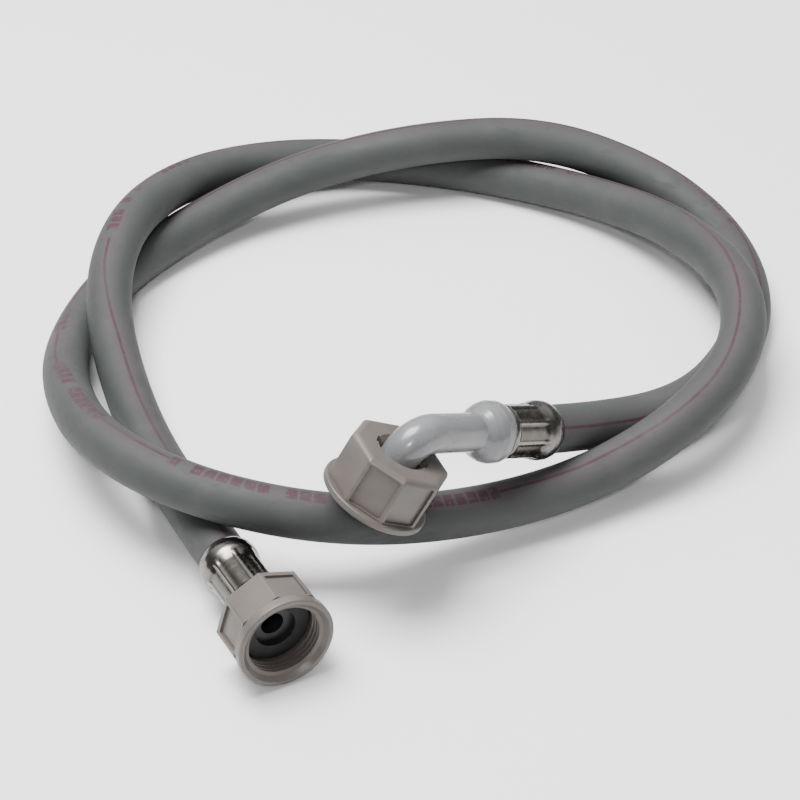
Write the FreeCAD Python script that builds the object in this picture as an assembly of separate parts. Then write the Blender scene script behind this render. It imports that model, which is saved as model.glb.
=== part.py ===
import FreeCAD, Part
import math
import os

# Water supply hose, 1.5 m overall, lying in a loose coil on a floor at Z = 0.
# Millimetres. Origin: centre of the coil's footprint, on the floor.

# --- hose -----------------------------------------------------------------
HOSE_R = 8.25          # outside of the jacket
BRAID_R = 7.15         # outside of the textile braid
LINER_R = 6.40         # outside of the liner
WATER_R = 5.00         # bore of the liner
ARC_SHARE = 0.45       # how much of the shorter run each bend takes up

# Points of the hose's centre line, from the elbow end to the straight end.
ROUTE = [
    (30.9, -70, 39.8), (60.4, -42.5, 19.3), (99, -15.5, 8.25), (122, 20.5, 8.25),
    (128.5, 56.5, 9.5), (119, 91.5, 13.5), (94, 122, 18.5), (52.5, 140, 25),
    (4, 134.5, 25.5), (-42.5, 123, 19.5), (-82, 100.5, 11), (-113, 64, 8.25),
    (-125, 22.5, 9.5), (-121.5, -20.5, 20), (-105.5, -63.5, 30), (-70, -94, 33),
    (-24.5, -100.5, 26.5), (19.5, -82, 14), (61.5, -62, 13), (97.5, -39.5, 23.5),
    (119, -2, 26.5), (120, 41.5, 25.5), (100.5, 85, 19), (73.5, 117.5, 10.5),
    (34, 138, 8.25), (-13, 149, 8.25), (-56, 140, 14), (-90, 112.5, 22),
    (-108.5, 72, 28), (-112, 28, 23), (-99, -20, 11.5), (-78, -72, 14),
    (-51.2, -123.4, 16.3),
]

# --- crimped ferrules, both ends --------------------------------------------
HOSE_GRIP = 20.0       # hose pushed this far into a ferrule
HOSE_FIT = 0.01        # gap left round and inside the hose
FERRULE_L = 26.5
FERRULE_FLARE_R = 10.10
FERRULE_CRIMP_R = 9.25
FERRULE_LIP_R = 6.30   # hole in the closed end
FERRULE_LIP_T = 1.2
FLUTES = 8
FLUTE_FLAT = 8.65      # distance of a crimped flat from the axis

# --- barbed tails -----------------------------------------------------------
TAIL_BORE_R = 3.8
BARB_ROOT_R = 4.55
BARB_PITCH = 4.0
BARB_COUNT = 4
COLLAR_R = 8.20
NECK_R = 6.0
FLANGE_R = 11.4
FLANGE_T = 2.0

# --- union nuts, G 3/4 --------------------------------------------------------
THREAD_MINOR_R = 12.06
THREAD_MAJOR_R = 13.22
THREAD_PITCH = 1.814
THREAD_FLANK = 0.65    # half the width of a groove where it meets the crest
THREAD_ROOT_HALF = 0.15
THREAD_LEAD = 0.7      # from the relief to the thread's crest
THREAD_RUNOUT = 0.6    # from the last crest to the lead-in
NUT_SIDES = 8
NUT_WALL = 2.6         # floor behind the flange
RELIEF_R = 12.9        # room for the flange and the washer
RELIEF_END = 8.6
MOUTH_R = 14.6         # lead-in at the mouth
MOUTH_CHAMFER = 1.5
HOLE_CLEARANCE = 0.45
POCKET_DEPTH = 0.9
POCKET_EDGE = 0.6      # plain strip between the pockets and the rim
RIB_HALF_WIDTH = 1.1   # rib left on each corner between two pockets
RIM_ROUND = 0.7

STRAIGHT_NUT_GAP = 3.2     # from the ferrule to the back of the nut
STRAIGHT_NUT_TRAVEL = 1.5
ELBOW_NUT_BACK = 7.2       # from the elbow's corner to the back of the nut
ELBOW_NUT_TRAVEL = 1.0
COUNTERSINK_R = 8.6        # back of the elbow nut's hole, clear of the bend
COUNTERSINK_L = 1.7
WINDOW_INNER_R = 6.0
WINDOW_OUTER_R = 9.1
WINDOW_WIDTH = 3.6
WINDOW_CLOCK = 50.0

# --- elbow ------------------------------------------------------------------
ELBOW_R = 6.45
ELBOW_BEND_R = 9.2
ELBOW_BORE_R = 4.2
BELL_START = 29.3
BELL_R = 10.3
ELBOW_TO_FERRULE = 40.5
ELBOW_NUT_AIM = (-0.482, -0.132, -0.869)

# --- washers ------------------------------------------------------------------
WASHER_R = 11.7
WASHER_BORE_R = 6.8
WASHER_T = 2.5
SEAT_GAP = 0.2
WASHER_GAP = 0.02      # between a flange and its washer

# The two nuts. clock: one corner's angle. back_edge: plain edge behind the pockets.
STRAIGHT_NUT = {
    "length": 17.3, "corner_r": 16.6, "rim_r": 16.2, "rim_l": 3.8, "clock": 4.0,
    "back_round": 0.7, "back_edge": 2.2, "plain_flats": (2, 6),
    "hole_r": NECK_R + HOLE_CLEARANCE,
}
ELBOW_NUT = {
    "length": 19.6, "corner_r": 17.4, "rim_r": 18.1, "rim_l": 2.4, "clock": 127.0,
    "back_round": 2.2, "back_edge": 1.6, "plain_flats": (1, 5),
    "hole_r": ELBOW_R + HOLE_CLEARANCE,
}

V = FreeCAD.Vector
AXIS_Z = V(0, 0, 1)
AXIS_X = V(1, 0, 0)


def revolve(outline):
    """Turn an outline of (radius, height) points about Z."""
    points = [V(r, 0, z) for r, z in outline]
    face = Part.Face(Part.makePolygon(points + [points[0]]))
    return face.revolve(V(0, 0, 0), AXIS_Z, 360)


def cylinder(radius, low, high):
    return Part.makeCylinder(radius, high - low, V(0, 0, low))


def tube(outer, inner, low, high):
    return cylinder(outer, low, high).cut(cylinder(inner, low - 1, high + 1))


def frame_at(origin, z_axis, x_hint):
    """Placement whose Z is z_axis and whose X leans to x_hint."""
    z = V(*z_axis).normalize()
    y = z.cross(V(*x_hint)).normalize()
    x = y.cross(z)
    matrix = FreeCAD.Matrix(
        x.x, y.x, z.x, origin[0],
        x.y, y.y, z.y, origin[1],
        x.z, y.z, z.z, origin[2],
        0, 0, 0, 1)
    return FreeCAD.Placement(matrix)


def edges_where(shape, test):
    return [e for e in shape.Edges if test(e)]


def rounded(shape, radius, test):
    """Round the edges that pass the test."""
    return shape.makeFillet(radius, edges_where(shape, test))


# --- hose ---------------------------------------------------------------------

def bend(before, corner, after):
    """Arc tangent to both runs at a corner: its three points and its radius."""
    to_before = before - corner
    to_after = after - corner
    reach = ARC_SHARE * min(to_before.Length, to_after.Length)
    to_before.normalize()
    to_after.normalize()
    half_turn = (math.pi - to_before.getAngle(to_after)) / 2
    radius = reach / math.tan(half_turn)
    inward = (to_before + to_after).normalize()
    middle = corner + inward * (radius / math.cos(half_turn) - radius)
    return corner + to_before * reach, middle, corner + to_after * reach, radius


def hose_path(route):
    """Straight runs joined by tangent arcs, and the radii of the arcs."""
    points = [V(*p) for p in route]
    edges = []
    radii = []
    start = points[0]
    for before, corner, after in zip(points, points[1:], points[2:]):
        first, middle, last, radius = bend(before, corner, after)
        edges.append(Part.LineSegment(start, first).toShape())
        edges.append(Part.Arc(first, middle, last).toShape())
        radii.append(radius)
        start = last
    edges.append(Part.LineSegment(start, points[-1]).toShape())
    return Part.Wire(edges), radii


def hose_rod(path, radius):
    """Round bar swept along the path."""
    start = path.Edges[0].valueAt(path.Edges[0].FirstParameter)
    along = path.Edges[0].tangentAt(path.Edges[0].FirstParameter)
    return path.makePipe(Part.Face(Part.Wire(Part.makeCircle(radius, start, along))))


def hose_layer(path, outer, inner):
    """One layer of the hose wall."""
    layer = hose_rod(path, outer).cut(hose_rod(path, inner))
    expected = math.pi * (outer ** 2 - inner ** 2) * path.Length
    print("layer %.2f-%.2f: volume %.1f, section x length %.1f" % (
        inner, outer, layer.Volume, expected))
    return layer


# --- end fittings, each built along Z with the ferrule's closed end at Z = 0 ------

def ferrule():
    """Steel sleeve, flared where the hose goes in and pressed to flats along its length."""
    low = -FERRULE_L
    inner = HOSE_R + HOSE_FIT
    outer = [
        (inner + 0.55, low), (FERRULE_FLARE_R - 0.15, low + 0.5),
        (FERRULE_FLARE_R, low + 1.6), (FERRULE_FLARE_R - 0.1, low + 3.4),
        (FERRULE_CRIMP_R, low + 5.6), (FERRULE_CRIMP_R, -2.6),
        (FERRULE_CRIMP_R - 0.1, -0.9), (FERRULE_CRIMP_R - 0.7, 0),
    ]
    bore = [
        (FERRULE_LIP_R, 0), (FERRULE_LIP_R, -FERRULE_LIP_T),
        (inner, -FERRULE_LIP_T), (inner, low + 4.6),
        (inner + 0.75, low + 3.0), (inner + 0.75, low + 1.4), (inner, low),
    ]
    sleeve = revolve(outer + bore)
    flat_low = low + 5.2
    flat_length = -3.0 - flat_low
    for i in range(FLUTES):
        block = Part.makeBox(4, 8, flat_length, V(FLUTE_FLAT, -4, flat_low))
        block.rotate(V(0, 0, 0), AXIS_Z, (i + 0.5) * 360 / FLUTES)
        sleeve = sleeve.cut(block)
    return sleeve


def barbs(top):
    """Outline of the barbed stem, from the collar's hose side down."""
    points = []
    for i in range(BARB_COUNT):
        z = top - i * BARB_PITCH
        points += [(BARB_ROOT_R, z), (BARB_ROOT_R, z - 1.0), (WATER_R - HOSE_FIT, z - 1.2)]
    end = top - BARB_COUNT * BARB_PITCH - 1.0
    return points + [(BARB_ROOT_R, end), (TAIL_BORE_R, end)]


def straight_tail(flange_z):
    """Barbed stem, collar in the ferrule, neck through the nut and sealing flange."""
    collar_low = HOSE_GRIP - FERRULE_L
    outline = [
        (TAIL_BORE_R, flange_z + FLANGE_T), (FLANGE_R, flange_z + FLANGE_T),
        (FLANGE_R, flange_z), (NECK_R, flange_z), (NECK_R, -FERRULE_LIP_T),
        (COLLAR_R, -FERRULE_LIP_T), (COLLAR_R, collar_low),
    ]
    return revolve(outline + barbs(collar_low))


def washer():
    ring = tube(WASHER_R, WASHER_BORE_R, 0, WASHER_T)
    return rounded(ring, 0.4, lambda e: e.Length > 60)


def nut_bore(length, hole_r):
    """Everything cut from the inside of a nut whose back face is at Z = 0."""
    crest_low = RELIEF_END + THREAD_LEAD
    thread_end = length - MOUTH_CHAMFER
    profile = [
        (0, -1), (hole_r, -1), (hole_r, NUT_WALL), (RELIEF_R, NUT_WALL),
        (RELIEF_R, RELIEF_END), (THREAD_MINOR_R, crest_low),
    ]
    turns = int((thread_end - crest_low) / THREAD_PITCH)
    for i in range(turns):
        root = thread_end - (turns - i - 0.2) * THREAD_PITCH
        profile += [
            (THREAD_MINOR_R, root - THREAD_FLANK),
            (THREAD_MAJOR_R, root - THREAD_ROOT_HALF),
            (THREAD_MAJOR_R, root + THREAD_ROOT_HALF),
            (THREAD_MINOR_R, root + THREAD_FLANK),
        ]
    profile += [
        (THREAD_MINOR_R, thread_end - THREAD_RUNOUT), (THREAD_MAJOR_R, thread_end),
        (MOUTH_R, length), (MOUTH_R, length + 1), (0, length + 1),
    ]
    return revolve(profile)


def octagon(corner_r, low, high, clock):
    """Eight-sided prism with one corner at the clock angle."""
    step = 2 * math.pi / NUT_SIDES
    start = math.radians(clock)
    corners = [
        V(corner_r * math.cos(start + i * step), corner_r * math.sin(start + i * step), low)
        for i in range(NUT_SIDES + 1)
    ]
    corners[-1] = corners[0]
    face = Part.Face(Part.makePolygon(corners))
    return face.extrude(V(0, 0, high - low))


def on_every_flat(piece, clock):
    """Copies of a piece made at angle 0, turned to each flat."""
    copies = []
    for i in range(NUT_SIDES):
        copy = piece.copy()
        copy.rotate(V(0, 0, 0), AXIS_Z, clock + (i + 0.5) * 360 / NUT_SIDES)
        copies.append(copy)
    return copies


def pocket(nut):
    """Block that sinks one flat of a nut, centred on angle 0."""
    flat_r = nut["corner_r"] * math.cos(math.pi / NUT_SIDES)
    half_width = nut["corner_r"] * math.sin(math.pi / NUT_SIDES) - RIB_HALF_WIDTH
    length = nut["length"] - nut["rim_l"] - POCKET_EDGE - nut["back_edge"]
    block = Part.makeBox(
        POCKET_DEPTH + 3, 2 * half_width, length,
        V(flat_r - POCKET_DEPTH, -half_width, nut["back_edge"]))
    return rounded(block, 0.7, lambda e: abs(e.Vertexes[0].X - e.Vertexes[1].X) > 1)


def union_nut(nut):
    """Eight-sided nut with sunk flats, a rib on each corner and a round rim at its mouth."""
    length = nut["length"]
    rim_low = length - nut["rim_l"]
    body = octagon(nut["corner_r"], 0, rim_low + 0.2, nut["clock"])
    body = rounded(body, nut["back_round"], lambda e: e.CenterOfMass.z < 0.1)
    body = rounded(body, 0.7, lambda e: 0.1 < e.CenterOfMass.z < rim_low)
    rim = cylinder(nut["rim_r"], rim_low, length)
    rim = rounded(rim, RIM_ROUND, lambda e: e.Length > 60 and len(e.Vertexes) == 1)
    pockets = on_every_flat(pocket(nut), nut["clock"])
    body = body.fuse(rim).cut([
        p for i, p in enumerate(pockets) if i not in nut["plain_flats"]])
    return body.cut(nut_bore(length, nut["hole_r"])).removeSplitter()


def elbow_nut():
    """The elbow's nut: a countersunk hole to clear the bend, and a notch on each side."""
    hole_r = ELBOW_NUT["hole_r"]
    countersink = revolve([
        (0, -1), (COUNTERSINK_R, -1), (COUNTERSINK_R, 0), (hole_r, COUNTERSINK_L),
        (0, COUNTERSINK_L)])
    tools = [countersink]
    for side in (0, 180):
        window = Part.makeBox(
            WINDOW_OUTER_R - WINDOW_INNER_R, WINDOW_WIDTH, NUT_WALL + 2,
            V(WINDOW_INNER_R, -WINDOW_WIDTH / 2, -1))
        window.rotate(V(0, 0, 0), AXIS_Z, WINDOW_CLOCK + side)
        tools.append(window)
    return union_nut(ELBOW_NUT).cut(tools).removeSplitter()


# --- elbow, corner at the origin, hose leg along +X, mouth along +Z -------------

def leg_to_x(shape):
    """Lay a shape built along Z onto the hose leg, its Z towards the corner."""
    shape.Placement = frame_at((ELBOW_TO_FERRULE, 0, 0), (-1, 0, 0), (0, 1, 0))
    return shape


def pipe_turn(radius):
    """Round bar along both legs, joined by a quarter bend."""
    centre = V(ELBOW_BEND_R, 0, ELBOW_BEND_R)
    slant = ELBOW_BEND_R * math.sqrt(0.5)
    first = V(ELBOW_TO_FERRULE, 0, 0)
    bend_start = V(ELBOW_BEND_R, 0, 0)
    bend_middle = centre - V(slant, 0, slant)
    bend_end = V(0, 0, ELBOW_BEND_R)
    last = V(0, 0, elbow_flange_z() + FLANGE_T)
    path = Part.Wire([
        Part.LineSegment(first, bend_start).toShape(),
        Part.Arc(bend_start, bend_middle, bend_end).toShape(),
        Part.LineSegment(bend_end, last).toShape(),
    ])
    ring = Part.Wire(Part.makeCircle(radius, first, AXIS_X))
    return path.makePipe(Part.Face(ring))


def elbow_flange_z():
    return ELBOW_NUT_BACK + NUT_WALL + ELBOW_NUT_TRAVEL + SEAT_GAP


def elbow_body():
    """Moulded elbow: bell against the ferrule, barbed stem in the hose, flange in the nut."""
    bell_l = ELBOW_TO_FERRULE - BELL_START
    collar_low = HOSE_GRIP - FERRULE_L
    bell = [
        (0, bell_l), (ELBOW_R, bell_l), (ELBOW_R + 0.6, bell_l - 0.9),
        (ELBOW_R + 2.1, bell_l - 2.6), (BELL_R - 0.6, bell_l - 4.6),
        (BELL_R, bell_l - 6.8), (BELL_R, 1.6), (BELL_R - 0.3, 0.5),
        (BELL_R - 0.9, 0), (NECK_R, 0),
        (NECK_R, -FERRULE_LIP_T), (COLLAR_R, -FERRULE_LIP_T), (COLLAR_R, collar_low),
    ]
    stem = barbs(collar_low)
    stem_end = (0, stem[-1][1])
    outside = leg_to_x(revolve(bell + stem[:-1] + [stem_end]))
    flange = cylinder(FLANGE_R, elbow_flange_z(), elbow_flange_z() + FLANGE_T)
    body = pipe_turn(ELBOW_R).fuse([outside, flange])
    stem_bore = leg_to_x(cylinder(TAIL_BORE_R, stem[-1][1] - 1, bell_l))
    return body.cut([pipe_turn(ELBOW_BORE_R), stem_bore]).removeSplitter()


# --- assembly -------------------------------------------------------------------

def save(name, shape, placement):
    placed = shape.copy()
    placed.Placement = placement.multiply(placed.Placement)
    placed.exportStep("parts/%s.step" % name)
    box = placed.optimalBoundingBox()
    print("%-16s valid %s solids %d volume %.1f box %.1f..%.1f %.1f..%.1f %.1f..%.1f" % (
        name, placed.isValid(), len(placed.Solids), placed.Volume,
        box.XMin, box.XMax, box.YMin, box.YMax, box.ZMin, box.ZMax))


def save_hose():
    path, radii = hose_path(ROUTE)
    print("hose length %.0f, smallest bend radii %s" % (
        path.Length, ["%.0f" % r for r in sorted(radii)[:8]]))
    here = FreeCAD.Placement()
    save("hose_jacket", hose_layer(path, HOSE_R, BRAID_R), here)
    save("hose_braid", hose_layer(path, BRAID_R, LINER_R), here)
    save("hose_liner", hose_layer(path, LINER_R, WATER_R), here)


def straight_frame(along):
    """Placement on the straight end's axis, a distance from the ferrule's closed end."""
    end = V(*ROUTE[-1])
    axis = (end - V(*ROUTE[-2])).normalize()
    origin = end + axis * (FERRULE_L - HOSE_GRIP + along)
    return frame_at(origin, axis, axis.cross(AXIS_Z))


def save_straight_end():
    flange_z = STRAIGHT_NUT_GAP + NUT_WALL + STRAIGHT_NUT_TRAVEL + SEAT_GAP
    save("straight_ferrule", ferrule(), straight_frame(0))
    save("straight_tail", straight_tail(flange_z), straight_frame(0))
    save("straight_nut", union_nut(STRAIGHT_NUT), straight_frame(STRAIGHT_NUT_GAP))
    save("straight_washer", washer(), straight_frame(flange_z + FLANGE_T + WASHER_GAP))


def elbow_frame(along_hose, along_mouth):
    """Placement at the elbow, +X to the hose and +Z out of the mouth."""
    end = V(*ROUTE[0])
    to_hose = (V(*ROUTE[1]) - end).normalize()
    corner = end - to_hose * (ELBOW_TO_FERRULE + FERRULE_L - HOSE_GRIP)
    aim = V(*ELBOW_NUT_AIM)
    out = (aim - to_hose * aim.dot(to_hose)).normalize()
    return frame_at(corner + to_hose * along_hose + out * along_mouth, out, to_hose)


def save_elbow_end():
    save("elbow_body", elbow_body(), elbow_frame(0, 0))
    save("elbow_ferrule", leg_to_x(ferrule()), elbow_frame(0, 0))
    save("elbow_nut", elbow_nut(), elbow_frame(0, ELBOW_NUT_BACK))
    washer_z = elbow_flange_z() + FLANGE_T + WASHER_GAP
    save("elbow_washer", washer(), elbow_frame(0, washer_z))


def print_axes():
    """Axis lines that the joints and mounts use."""
    for name, frame in (("straight", straight_frame(STRAIGHT_NUT_GAP)),
                        ("elbow", elbow_frame(0, ELBOW_NUT_BACK))):
        axis = frame.Rotation.multVec(AXIS_Z)
        print("%s nut back centre %s axis %s" % (
            name, tuple(round(c, 3) for c in frame.Base), tuple(round(c, 6) for c in axis)))


os.makedirs("parts", exist_ok=True)
save_hose()
save_straight_end()
save_elbow_end()
print_axes()
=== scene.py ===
import bpy
import math
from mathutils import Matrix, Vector, noise


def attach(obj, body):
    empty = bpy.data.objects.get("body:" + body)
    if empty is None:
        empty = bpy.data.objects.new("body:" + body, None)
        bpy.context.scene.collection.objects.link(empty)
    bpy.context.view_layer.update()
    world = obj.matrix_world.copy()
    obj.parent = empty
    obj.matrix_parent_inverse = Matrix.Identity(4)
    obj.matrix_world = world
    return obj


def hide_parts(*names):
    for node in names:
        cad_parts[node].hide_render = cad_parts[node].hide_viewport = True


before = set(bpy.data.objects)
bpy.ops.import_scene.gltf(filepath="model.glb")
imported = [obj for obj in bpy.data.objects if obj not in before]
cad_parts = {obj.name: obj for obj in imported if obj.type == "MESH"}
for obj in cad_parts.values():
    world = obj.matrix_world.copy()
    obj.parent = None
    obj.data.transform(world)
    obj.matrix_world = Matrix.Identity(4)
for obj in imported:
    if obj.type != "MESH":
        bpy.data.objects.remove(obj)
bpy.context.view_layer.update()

# The hose's route: control points of one smooth line.
ROUTE_MM = [
    (30.9, -70, 39.8), (60.4, -42.5, 19.3), (99, -15.5, 8.25), (122, 20.5, 8.25),
    (128.5, 56.5, 9.5), (119, 91.5, 13.5), (94, 122, 18.5), (52.5, 140, 25),
    (4, 134.5, 25.5), (-42.5, 123, 19.5), (-82, 100.5, 11), (-113, 64, 8.25),
    (-125, 22.5, 9.5), (-121.5, -20.5, 20), (-105.5, -63.5, 30), (-70, -94, 33),
    (-24.5, -100.5, 26.5), (19.5, -82, 14), (61.5, -62, 13), (97.5, -39.5, 23.5),
    (119, -2, 26.5), (120, 41.5, 25.5), (100.5, 85, 19), (73.5, 117.5, 10.5),
    (34, 138, 8.25), (-13, 149, 8.25), (-56, 140, 14), (-90, 112.5, 22),
    (-108.5, 72, 28), (-112, 28, 23), (-99, -20, 11.5), (-78, -72, 14),
    (-51.2, -123.4, 16.3),
]
ROUTE = [Vector(p) * 0.001 for p in ROUTE_MM]
STEPS_PER_POINT = 24

JACKET_R = 0.00825
JACKET_BORE_R = 0.00720
BRAID_R = 0.00714
BRAID_BORE_R = 0.00645
LINER_R = 0.00639
LINER_BORE_R = 0.00500
HOSE_GRIP = 0.020      # hose hidden in each ferrule
FERRULE_L = 0.0265
SIDES = 64

# Where the printed line sits round the hose, at places along the route given by
# point number: degrees from straight up, positive towards the inside of the coil.
PRINT_LEAN = [
    (0, -60), (4, -25), (8, -10), (10, -15), (11.5, -32), (12.5, -22), (13.4, 2),
    (14.2, 14), (15, 5), (17, -14), (19, -12), (20.5, 14), (22.5, -15), (25, -8),
    (27, -15), (28, -20), (29, -10), (30, 8), (32, 12),
]
# Stretches with a row of marks in place of the plain line, by point number.
PRINT_MARKS = [
    (4.4, 5.2), (11.7, 12.1), (12.8, 13.9), (14.7, 17.2), (23.4, 24.2),
    (27.3, 27.7), (28.0, 28.8),
]
MARK_PITCH = 0.0044
MARK_HALF_HEIGHT = 0.0021
LINE_HALF_WIDTH = 0.00030
INK_EDGE = 0.0005      # about how far the ink fades out past an edge
BARE = 0.02            # a distance from the printed line that no ink reaches
BRAID_TURNS = 2800     # radians of the weave's wave in a metre

UP = Vector((0, 0, 1))


# --- small tools ---------------------------------------------------------------------

def link(obj):
    bpy.context.scene.collection.objects.link(obj)
    return obj


def new_mesh(name, vertices, faces):
    mesh = bpy.data.meshes.new(name)
    mesh.from_pydata([tuple(v) for v in vertices], [], faces)
    mesh.update()
    return link(bpy.data.objects.new(name, mesh))


def smooth(obj):
    for face in obj.data.polygons:
        face.use_smooth = True


def tag_points(obj, name, values):
    """Number on each point of a mesh, for its material to read."""
    attribute = obj.data.attributes.new(name, "FLOAT", "POINT")
    for item, value in zip(attribute.data, values):
        item.value = value


def between(table, x):
    """Value at x of a table of (x, value), easing from each entry to the next."""
    for (x0, y0), (x1, y1) in zip(table, table[1:]):
        if x <= x1:
            share = max(0.0, (x - x0) / (x1 - x0))
            share = share * share * (3 - 2 * share)
            return y0 + (y1 - y0) * share
    return table[-1][1]


# --- materials -----------------------------------------------------------------------

class Look:
    """A material's node tree, with short ways to add and wire its nodes."""

    def __init__(self, name):
        self.material = bpy.data.materials.new(name)
        self.material.use_nodes = True
        self.tree = self.material.node_tree
        self.shader = self.tree.nodes["Principled BSDF"]
        self.coords = self.tree.nodes.new("ShaderNodeTexCoord").outputs["Object"]

    def node(self, kind, **values):
        node = self.tree.nodes.new("ShaderNode" + kind)
        for key, value in values.items():
            setattr(node, key, value)
        return node

    def wire(self, source, target):
        self.tree.links.new(source, target)

    def put(self, socket, value):
        if isinstance(value, bpy.types.NodeSocket):
            self.wire(value, socket)
        else:
            socket.default_value = value

    def math(self, operation, a, b=0.0, clamp=False):
        node = self.node("Math", operation=operation, use_clamp=clamp)
        self.put(node.inputs[0], a)
        self.put(node.inputs[1], b)
        return node.outputs[0]

    def noise(self, scale, detail=4.0, rough=0.6, vector=None):
        node = self.node("TexNoise")
        node.inputs["Scale"].default_value = scale
        node.inputs["Detail"].default_value = detail
        node.inputs["Roughness"].default_value = rough
        self.wire(vector or self.coords, node.inputs["Vector"])
        return node.outputs["Fac"]

    def stretched(self, sx, sy, sz):
        node = self.node("Mapping")
        node.inputs["Scale"].default_value = (sx, sy, sz)
        self.wire(self.coords, node.inputs["Vector"])
        return node.outputs["Vector"]

    def ramp(self, value, low, high, to_low=0.0, to_high=1.0):
        node = self.node("MapRange", interpolation_type="SMOOTHSTEP")
        self.put(node.inputs["Value"], value)
        node.inputs["From Min"].default_value = low
        node.inputs["From Max"].default_value = high
        node.inputs["To Min"].default_value = to_low
        node.inputs["To Max"].default_value = to_high
        return node.outputs["Result"]

    def mix(self, factor, a, b):
        node = self.node("Mix", data_type="RGBA")
        self.put(node.inputs[0], factor)
        self.put(node.inputs[6], a)
        self.put(node.inputs[7], b)
        return node.outputs[2]

    def colour(self, value):
        self.put(self.shader.inputs["Base Color"], value)

    def roughness(self, value):
        self.put(self.shader.inputs["Roughness"], value)

    def bump(self, layers):
        """Stack of (height, strength, distance), the coarsest first."""
        normal = None
        for height, strength, distance in layers:
            node = self.node("Bump")
            node.inputs["Strength"].default_value = strength
            node.inputs["Distance"].default_value = distance
            self.wire(height, node.inputs["Height"])
            if normal is not None:
                self.wire(normal, node.inputs["Normal"])
            normal = node.outputs["Normal"]
        self.wire(normal, self.shader.inputs["Normal"])


def rgb(r, g, b):
    return (r, g, b, 1.0)


def printed_ink(look, across, along, marks):
    """Mask of the printed line and, where marks is 1, of a row of worn block marks."""
    wobble = look.math("MULTIPLY", look.math("SUBTRACT", look.noise(45, 2), 0.5), 0.0010)
    offset = look.math("ABSOLUTE", look.math("ADD", across, wobble))
    faded = look.ramp(look.noise(26, 3), 0.30, 0.60, 0.45, 1.0)
    worn = look.ramp(look.noise(420, 5, 0.7), 0.25, 0.5, 0.35, 1.0)
    line = look.ramp(offset, LINE_HALF_WIDTH, LINE_HALF_WIDTH + 0.9 * INK_EDGE, 1.0, 0.0)
    line = look.math("MULTIPLY", line, look.math("SUBTRACT", 1.0, marks))

    cell = look.math("DIVIDE", along, MARK_PITCH)
    inside = look.math("ABSOLUTE", look.math("SUBTRACT", look.math("FRACT", cell), 0.5))
    inside = look.ramp(inside, 0.36, 0.46, 1.0, 0.0)
    chance = look.node("TexWhiteNoise", noise_dimensions="1D")
    look.wire(look.math("FLOOR", cell), chance.inputs["W"])
    filled = look.math("GREATER_THAN", chance.outputs["Value"], 0.18)
    blob = look.ramp(look.noise(480, 3, 0.6), 0.36, 0.46)
    band = look.ramp(offset, MARK_HALF_HEIGHT, MARK_HALF_HEIGHT + 1.2 * INK_EDGE, 1.0, 0.0)
    row = look.math("MULTIPLY", look.math("MULTIPLY", inside, filled),
                    look.math("MULTIPLY", blob, band))
    row = look.math("MULTIPLY", row, marks)
    ink = look.math("MAXIMUM", line, row, clamp=True)
    return look.math("MULTIPLY", ink, look.math("MULTIPLY", faded, worn)), offset


def jacket_look():
    """Grey PVC, a little mottled, with a faded mauve line and rows of small marks."""
    look = Look("jacket_pvc")
    uv = look.node("UVMap", uv_map="print").outputs["UV"]
    split = look.node("SeparateXYZ")
    look.wire(uv, split.inputs[0])
    marks = look.node("Attribute", attribute_name="marks").outputs["Fac"]
    ink, offset = printed_ink(look, split.outputs["X"], split.outputs["Y"], marks)

    grey = look.mix(look.ramp(look.noise(14, 3), 0.3, 0.7), rgb(0.036, 0.040, 0.039),
                    rgb(0.048, 0.052, 0.051))
    dust = look.ramp(look.noise(75, 6, 0.7), 0.45, 0.75, 0.0, 0.30)
    grey = look.mix(dust, grey, rgb(0.074, 0.071, 0.068))
    haze = look.math("MULTIPLY", look.ramp(offset, 0.001, 0.008, 1.0, 0.0),
                     look.ramp(look.noise(30, 3), 0.3, 0.7, 0.15, 0.55))
    body = look.mix(haze, grey, rgb(0.066, 0.048, 0.056))
    look.colour(look.mix(look.math("MULTIPLY", ink, 0.85), body, rgb(0.044, 0.013, 0.021)))

    scuffs = look.ramp(look.noise(90, 6, 0.7, look.stretched(1, 1, 5)), 0.5, 0.72)
    look.roughness(look.math("ADD", look.math("MULTIPLY", scuffs, 0.16),
                             look.ramp(look.noise(25, 3), 0.3, 0.7, 0.60, 0.70)))
    look.shader.inputs["Specular IOR Level"].default_value = 0.30
    look.bump([
        (look.noise(55, 2), 0.12, 0.0006),
        (look.noise(900, 3), 0.10, 0.00012),
        (look.math("MULTIPLY", scuffs, -1.0), 0.12, 0.0001),
    ])
    return look.material


def braid_look():
    """White yarns crossing at a steep angle over the liner."""
    look = Look("braid_yarn")
    uv = look.node("UVMap", uv_map="print").outputs["UV"]
    split = look.node("SeparateXYZ")
    look.wire(uv, split.inputs[0])
    weave = None
    for turn in (1.0, -1.0):
        slope = look.math("MULTIPLY", split.outputs["Y"], turn)
        strand = look.math("ADD", split.outputs["X"], slope)
        strand = look.math("MULTIPLY", strand, BRAID_TURNS)
        wave = look.math("ABSOLUTE", look.math("SINE", strand))
        weave = wave if weave is None else look.math("MAXIMUM", weave, wave)
    look.colour(look.mix(weave, rgb(0.36, 0.36, 0.34), rgb(0.74, 0.73, 0.70)))
    look.roughness(look.ramp(look.noise(300, 4), 0.3, 0.7, 0.65, 0.9))
    look.bump([(weave, 0.6, 0.0005), (look.noise(2500, 3), 0.3, 0.0001)])
    return look.material


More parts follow.
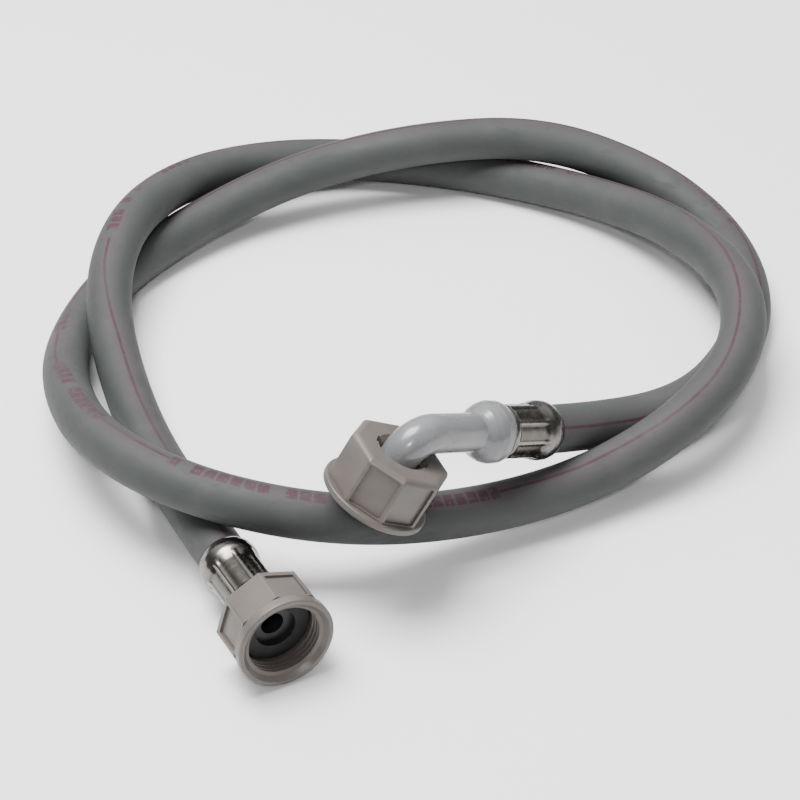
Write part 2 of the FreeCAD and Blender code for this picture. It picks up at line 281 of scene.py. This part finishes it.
def rubber_look(name, shade, gloss):
    """Black rubber with a bloom of dust."""
    look = Look(name)
    dust = look.ramp(look.noise(120, 6, 0.7), 0.45, 0.75, 0.0, 0.5)
    look.colour(look.mix(dust, rgb(shade, shade, shade), rgb(0.030, 0.027, 0.024)))
    look.roughness(look.ramp(look.noise(70, 4), 0.3, 0.7, gloss, gloss + 0.2))
    look.bump([(look.noise(400, 4), 0.2, 0.0002), (look.noise(1800, 3), 0.2, 0.0001)])
    return look.material


def steel_look():
    """Nickel-bright steel sleeve, the pressed panels darkened by dark film and painted shade,
    the ridges between left lighter.
    """
    look = Look("ferrule_steel")
    cloud = look.noise(70, 4)
    stain = look.ramp(look.noise(160, 6, 0.75), 0.5, 0.72)
    bright = look.mix(look.ramp(cloud, 0.3, 0.7), rgb(0.13, 0.123, 0.115),
                      rgb(0.21, 0.200, 0.188))
    # Partly dark film, partly painted shade: the deeper a panel is pressed, the darker its
    # colour.
    sunk = look.node("Attribute", attribute_name="sunk").outputs["Fac"]
    film_and_painted_shade = look.math("MULTIPLY", look.ramp(sunk, 0.15, 0.8),
                     look.ramp(look.noise(90, 4), 0.3, 0.7, 0.70, 0.95))
    filmed_and_shaded = look.mix(film_and_painted_shade, bright, rgb(0.090, 0.083, 0.074))
    look.colour(look.mix(look.math("MULTIPLY", stain, 0.6), filmed_and_shaded, rgb(0.10, 0.085, 0.07)))
    look.shader.inputs["Metallic"].default_value = 1.0
    scratches = look.noise(260, 8, 0.8, look.stretched(1, 1, 0.12))
    look.roughness(look.math("ADD", look.ramp(scratches, 0.35, 0.7, 0.16, 0.34),
                             look.math("MULTIPLY", stain, 0.18)))
    look.bump([(look.noise(110, 3), 0.25, 0.0006), (scratches, 0.15, 0.0001)])
    return look.material


def nut_look():
    """Warm grey moulded plastic with faint flow marks and grime in the fine grain."""
    look = Look("nut_plastic")
    flow = look.noise(40, 3, 0.5, look.stretched(1, 1, 2.5))
    grime = look.ramp(look.noise(220, 6, 0.75), 0.55, 0.78)
    grey = look.mix(look.ramp(flow, 0.3, 0.7), rgb(0.080, 0.068, 0.061),
                    rgb(0.106, 0.092, 0.083))
    look.colour(look.mix(look.math("MULTIPLY", grime, 0.5), grey, rgb(0.085, 0.072, 0.064)))
    look.roughness(look.ramp(look.noise(90, 5), 0.3, 0.7, 0.36, 0.50))
    look.shader.inputs["Subsurface Weight"].default_value = 0.06
    look.shader.inputs["Subsurface Radius"].default_value = (0.002, 0.0018, 0.0015)
    look.shader.inputs["Subsurface Scale"].default_value = 0.5
    look.bump([
        (look.noise(80, 2), 0.10, 0.0006),
        (look.noise(1100, 4), 0.16, 0.0001),
        (grime, 0.08, 0.0001),
    ])
    return look.material


def elbow_look():
    """Bluish light-grey moulding, glossy and a little milky."""
    look = Look("elbow_plastic")
    milk = look.noise(55, 3)
    base = look.mix(look.ramp(milk, 0.3, 0.7), rgb(0.125, 0.127, 0.133),
                    rgb(0.160, 0.162, 0.168))
    specks = look.ramp(look.noise(420, 6, 0.75), 0.60, 0.80, 0.0, 0.5)
    look.colour(look.mix(specks, base, rgb(0.18, 0.18, 0.18)))
    look.roughness(look.ramp(look.noise(60, 4), 0.3, 0.7, 0.20, 0.34))
    look.shader.inputs["Subsurface Weight"].default_value = 0.25
    look.shader.inputs["Subsurface Radius"].default_value = (0.003, 0.0032, 0.0035)
    look.shader.inputs["Subsurface Scale"].default_value = 1.0
    look.shader.inputs["Coat Weight"].default_value = 0.3
    look.shader.inputs["Coat Roughness"].default_value = 0.12
    look.bump([(look.noise(70, 2), 0.15, 0.0008), (look.noise(700, 3), 0.08, 0.0001)])
    return look.material


def shade_dark_tail_look():
    """Near-black moulding, dark as painted shade for the bore of the straight nut, with a
    dull, finely pitted skin.
    """
    look = Look("tail_plastic_painted_shade")
    mottle = look.ramp(look.noise(90, 4), 0.3, 0.7)
    # Painted shade: near black, so the tail deep in the nut's bore reads as the bore's shade.
    look.colour(look.mix(mottle, rgb(0.008, 0.008, 0.008), rgb(0.015, 0.014, 0.013)))
    look.roughness(look.ramp(look.noise(140, 5), 0.3, 0.7, 0.38, 0.58))
    look.bump([(look.noise(150, 3), 0.15, 0.0004), (look.noise(1400, 3), 0.12, 0.0001)])
    return look.material


# --- hose ----------------------------------------------------------------------------

def route_curve():
    """The route as one open NURBS spline."""
    data = bpy.data.curves.new("route", "CURVE")
    data.dimensions = "3D"
    data.resolution_u = STEPS_PER_POINT
    spline = data.splines.new("NURBS")
    spline.points.add(len(ROUTE) - 1)
    for point, place in zip(spline.points, ROUTE):
        point.co = (*place, 1.0)
    spline.order_u = 3
    spline.use_endpoint_u = True
    return bpy.data.objects.new("route", data)


def route_points():
    """Points along the spline, read from Blender's own evaluation of it."""
    curve = route_curve()
    mesh = bpy.data.meshes.new_from_object(curve)
    points = [v.co.copy() for v in mesh.vertices]
    bpy.data.objects.remove(curve)
    return points


def along_route(points):
    """Distance from the start to each point."""
    total = 0.0
    lengths = [0.0]
    for a, b in zip(points, points[1:]):
        total += (b - a).length
        lengths.append(total)
    return lengths


def point_numbers(points):
    """Each point's place along the route, counted in route points."""
    last = len(points) - 1
    return [i / last * (len(ROUTE) - 1) for i in range(last + 1)]


def directions(points):
    """Unit tangent at each point."""
    last = len(points) - 1
    return [
        (points[min(i + 1, last)] - points[max(i - 1, 0)]).normalized()
        for i in range(last + 1)
    ]


def tube_vertices(outer, inner, points):
    """Rings of points round the route, outside then inside, each starting opposite
    the printed line."""
    vertices = []
    for number, centre, tangent in zip(point_numbers(points), points, directions(points)):
        lean = math.radians(between(PRINT_LEAN, number))
        top = (UP - tangent * UP.dot(tangent)).normalized()
        inside = top.cross(tangent)
        for radius in (outer, inner):
            for k in range(SIDES):
                turn = lean + (k / SIDES - 0.5) * 2 * math.pi
                way = top * math.cos(turn) + inside * math.sin(turn)
                swell = 1.0
                if radius == outer:
                    swell += 0.004 * noise.noise((centre + way * radius) * 40)
                vertices.append(centre + way * (radius * swell))
    return vertices


def tube_marks(points):
    """1 on each point of a stretch with a row of marks, 0 elsewhere."""
    marks = []
    for number in point_numbers(points):
        marked = any(low < number < high for low, high in PRINT_MARKS)
        marks += [1.0 if marked else 0.0] * (2 * SIDES)
    return marks


def tube_faces(outer, points):
    """Faces of the wall, and for each corner its place: across the print and along."""
    lengths = along_route(points)
    last = len(points) - 1
    faces = []
    spots = []

    def quad(corners, across0, across1, along0, along1):
        faces.append(corners)
        spots.extend([(across0, along0), (across1, along0), (across1, along1),
                      (across0, along1)])

    for i in range(last):
        here = i * 2 * SIDES
        there = here + 2 * SIDES
        low = here + SIDES
        high = there + SIDES
        for k in range(SIDES):
            n = (k + 1) % SIDES
            a0 = (k / SIDES - 0.5) * 2 * math.pi * outer
            a1 = ((k + 1) / SIDES - 0.5) * 2 * math.pi * outer
            quad((here + k, here + n, there + n, there + k), a0, a1,
                 lengths[i], lengths[i + 1])
            quad((low + n, low + k, high + k, high + n), a1, a0,
                 lengths[i], lengths[i + 1])
    for ring in (0, last):
        base = ring * 2 * SIDES
        for k in range(SIDES):
            n = (k + 1) % SIDES
            corners = (base + k, base + n, base + SIDES + n, base + SIDES + k)
            if ring == 0:
                corners = corners[::-1]
            quad(corners, BARE, BARE, lengths[ring], lengths[ring])
    return faces, spots


def hose_layer(name, outer, inner, points):
    """Closed tube wall along the points, with print coordinates on its outside."""
    faces, spots = tube_faces(outer, points)
    obj = new_mesh(name, tube_vertices(outer, inner, points), faces)
    layer = obj.data.uv_layers.new(name="print")
    for loop, spot in zip(layer.data, spots):
        loop.uv = spot
    tag_points(obj, "marks", tube_marks(points))
    smooth(obj)
    return obj


def make_hose():
    points = route_points()
    jacket = hose_layer("jacket_tube", JACKET_R, JACKET_BORE_R, points)
    braid = hose_layer("braid_tube", BRAID_R, BRAID_BORE_R, points)
    liner = hose_layer("liner_tube", LINER_R, LINER_BORE_R, points)
    for obj, look, slot, node in (
            (jacket, jacket_look(), "jacket", "hose_jacket"),
            (braid, braid_look(), "braid", "hose_braid"),
            (liner, rubber_look("liner_rubber", 0.03, 0.45), "liner", "hose_liner")):
        obj.data.materials.append(look)
        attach(obj, "hose")
        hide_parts(node)


# --- fittings ------------------------------------------------------------------------

FERRULE_BORE_R = 0.00827
FERRULE_LIP_R = 0.00632
PANELS = 8
PANEL_DEPTH = 0.00050

# Outside of a ferrule: distance from the closed end towards the hose, and radius.
FERRULE_OUTLINE = [
    (0.0000, 0.0080), (0.0004, 0.0087), (0.0012, 0.0091), (0.0026, 0.00925),
    (0.0160, 0.00925), (0.0190, 0.00960), (0.0212, 0.01005), (0.0230, 0.01008),
    (0.0245, 0.00980), (0.0257, 0.00935), (0.0265, 0.00890),
]
FERRULE_INSIDE = [
    (0.0265, FERRULE_BORE_R + 0.0001), (0.0012, FERRULE_BORE_R), (0.0012, FERRULE_LIP_R),
    (0.0000, FERRULE_LIP_R),
]
FERRULE_ROWS = 60
FERRULE_SIDES = 128


def panel_depth(turn, back):
    """Share of a pressed panel's depth at an angle, back from the closed end."""
    share = (turn / (2 * math.pi) * PANELS) % 1.0
    ridge = min(share, 1 - share)
    across = between([(0.06, 0.0), (0.16, 1.0), (0.5, 0.82)], ridge)
    lengthwise = between([(0.0022, 0.0), (0.0036, 1.0), (0.0165, 1.0), (0.0200, 0.0)], back)
    return across * lengthwise


def ferrule_mesh(name, closed_end, to_hose):
    """Crimped sleeve: eight pressed panels with a ridge between each two, and a flare."""
    side = to_hose.cross(UP).normalized()
    top = side.cross(to_hose)
    length = FERRULE_OUTLINE[-1][0]
    rows = [(i / FERRULE_ROWS * length, None) for i in range(FERRULE_ROWS + 1)]
    rows += FERRULE_INSIDE
    vertices = []
    sunk = []
    for back, radius in rows:
        for k in range(FERRULE_SIDES):
            turn = k / FERRULE_SIDES * 2 * math.pi
            reach = radius
            sunk.append(0.0)
            if reach is None:
                sunk[-1] = panel_depth(turn, back)
                reach = between(FERRULE_OUTLINE, back) - PANEL_DEPTH * sunk[-1]
            way = top * math.cos(turn) + side * math.sin(turn)
            vertices.append(closed_end + to_hose * back + way * reach)
    faces = []
    count = len(rows)
    for i in range(count):
        here = i * FERRULE_SIDES
        there = ((i + 1) % count) * FERRULE_SIDES
        for k in range(FERRULE_SIDES):
            n = (k + 1) % FERRULE_SIDES
            faces.append((here + k, there + k, there + n, here + n))
    obj = new_mesh(name, vertices, faces)
    tag_points(obj, "sunk", sunk)
    smooth(obj)
    return obj


def make_ferrules(look):
    for node, end, before in (("straight_ferrule", ROUTE[-1], ROUTE[-2]),
                              ("elbow_ferrule", ROUTE[0], ROUTE[1])):
        to_hose = (before - end).normalized()
        closed_end = end - to_hose * (FERRULE_L - HOSE_GRIP)
        obj = ferrule_mesh(node + "_crimped", closed_end, to_hose)
        obj.data.materials.append(look)
        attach(obj, "hose")
        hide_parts(node)


def dress(node, look):
    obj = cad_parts[node]
    obj.data.materials.clear()
    obj.data.materials.append(look)


def make_fittings():
    steel = steel_look()
    nut = nut_look()
    elbow = elbow_look()
    # The washers are black rubber, made darker still as painted shade inside the nuts.
    washer = rubber_look("washer_rubber", 0.006, 0.6)
    make_ferrules(steel)
    for node in ("straight_nut", "elbow_nut"):
        dress(node, nut)
    dress("elbow_body", elbow)
    dress("straight_tail", shade_dark_tail_look())
    for node in ("straight_washer", "elbow_washer"):
        dress(node, washer)


# --- stage ---------------------------------------------------------------------------

def make_floor():
    reach = 4.0
    corners = [(-reach, -reach, 0), (reach, -reach, 0), (reach, reach, 0), (-reach, reach, 0)]
    floor = new_mesh("floor", corners, [(0, 1, 2, 3)])
    look = Look("floor_white")
    look.colour(rgb(0.86, 0.86, 0.86))
    look.roughness(0.9)
    floor.data.materials.append(look.material)


def make_light(name, place, aim, side, power):
    """Square soft box of the given side, pointed at a place."""
    data = bpy.data.lights.new(name, "AREA")
    data.shape = "SQUARE"
    data.size = side
    data.energy = power
    light = link(bpy.data.objects.new(name, data))
    light.location = place
    light.rotation_euler = (Vector(aim) - Vector(place)).to_track_quat("-Z", "Y").to_euler()


def make_sky():
    """Bright above and behind the hose, dark low down, so that metal has contrast."""
    world = bpy.data.worlds.new("studio")
    world.use_nodes = True
    nodes = world.node_tree.nodes
    links = world.node_tree.links
    coords = nodes.new("ShaderNodeTexCoord")
    toward = nodes.new("ShaderNodeVectorMath")
    toward.operation = "DOT_PRODUCT"
    toward.inputs[1].default_value = (-0.05, 0.45, 0.89)
    height = nodes.new("ShaderNodeMapRange")
    height.interpolation_type = "SMOOTHSTEP"
    height.inputs["From Min"].default_value = 0.45
    height.inputs["From Max"].default_value = 1.00
    height.inputs["To Min"].default_value = 0.22
    height.inputs["To Max"].default_value = 1.75
    links.new(coords.outputs["Generated"], toward.inputs[0])
    links.new(toward.outputs["Value"], height.inputs["Value"])
    links.new(height.outputs["Result"], nodes["Background"].inputs["Strength"])
    nodes["Background"].inputs["Color"].default_value = rgb(1, 1, 1)
    bpy.context.scene.world = world


def make_lights():
    make_sky()
    make_light("key", (-0.30, 0.05, 1.22), (0, 0, 0), 0.7, 40)
    make_light("fill", (-0.02, -0.95, 0.85), (-0.04, -0.14, 0.02), 0.12, 5)


def make_camera():
    data = bpy.data.cameras.new("camera")
    data.lens = 108.72
    data.sensor_width = 36
    camera = link(bpy.data.objects.new("camera", data))
    camera.location = (-0.004, -0.692, 0.530)
    camera.rotation_euler = (math.radians(52.5), 0, 0)
    bpy.context.scene.camera = camera


make_fittings()
make_hose()
make_floor()
make_lights()
make_camera()
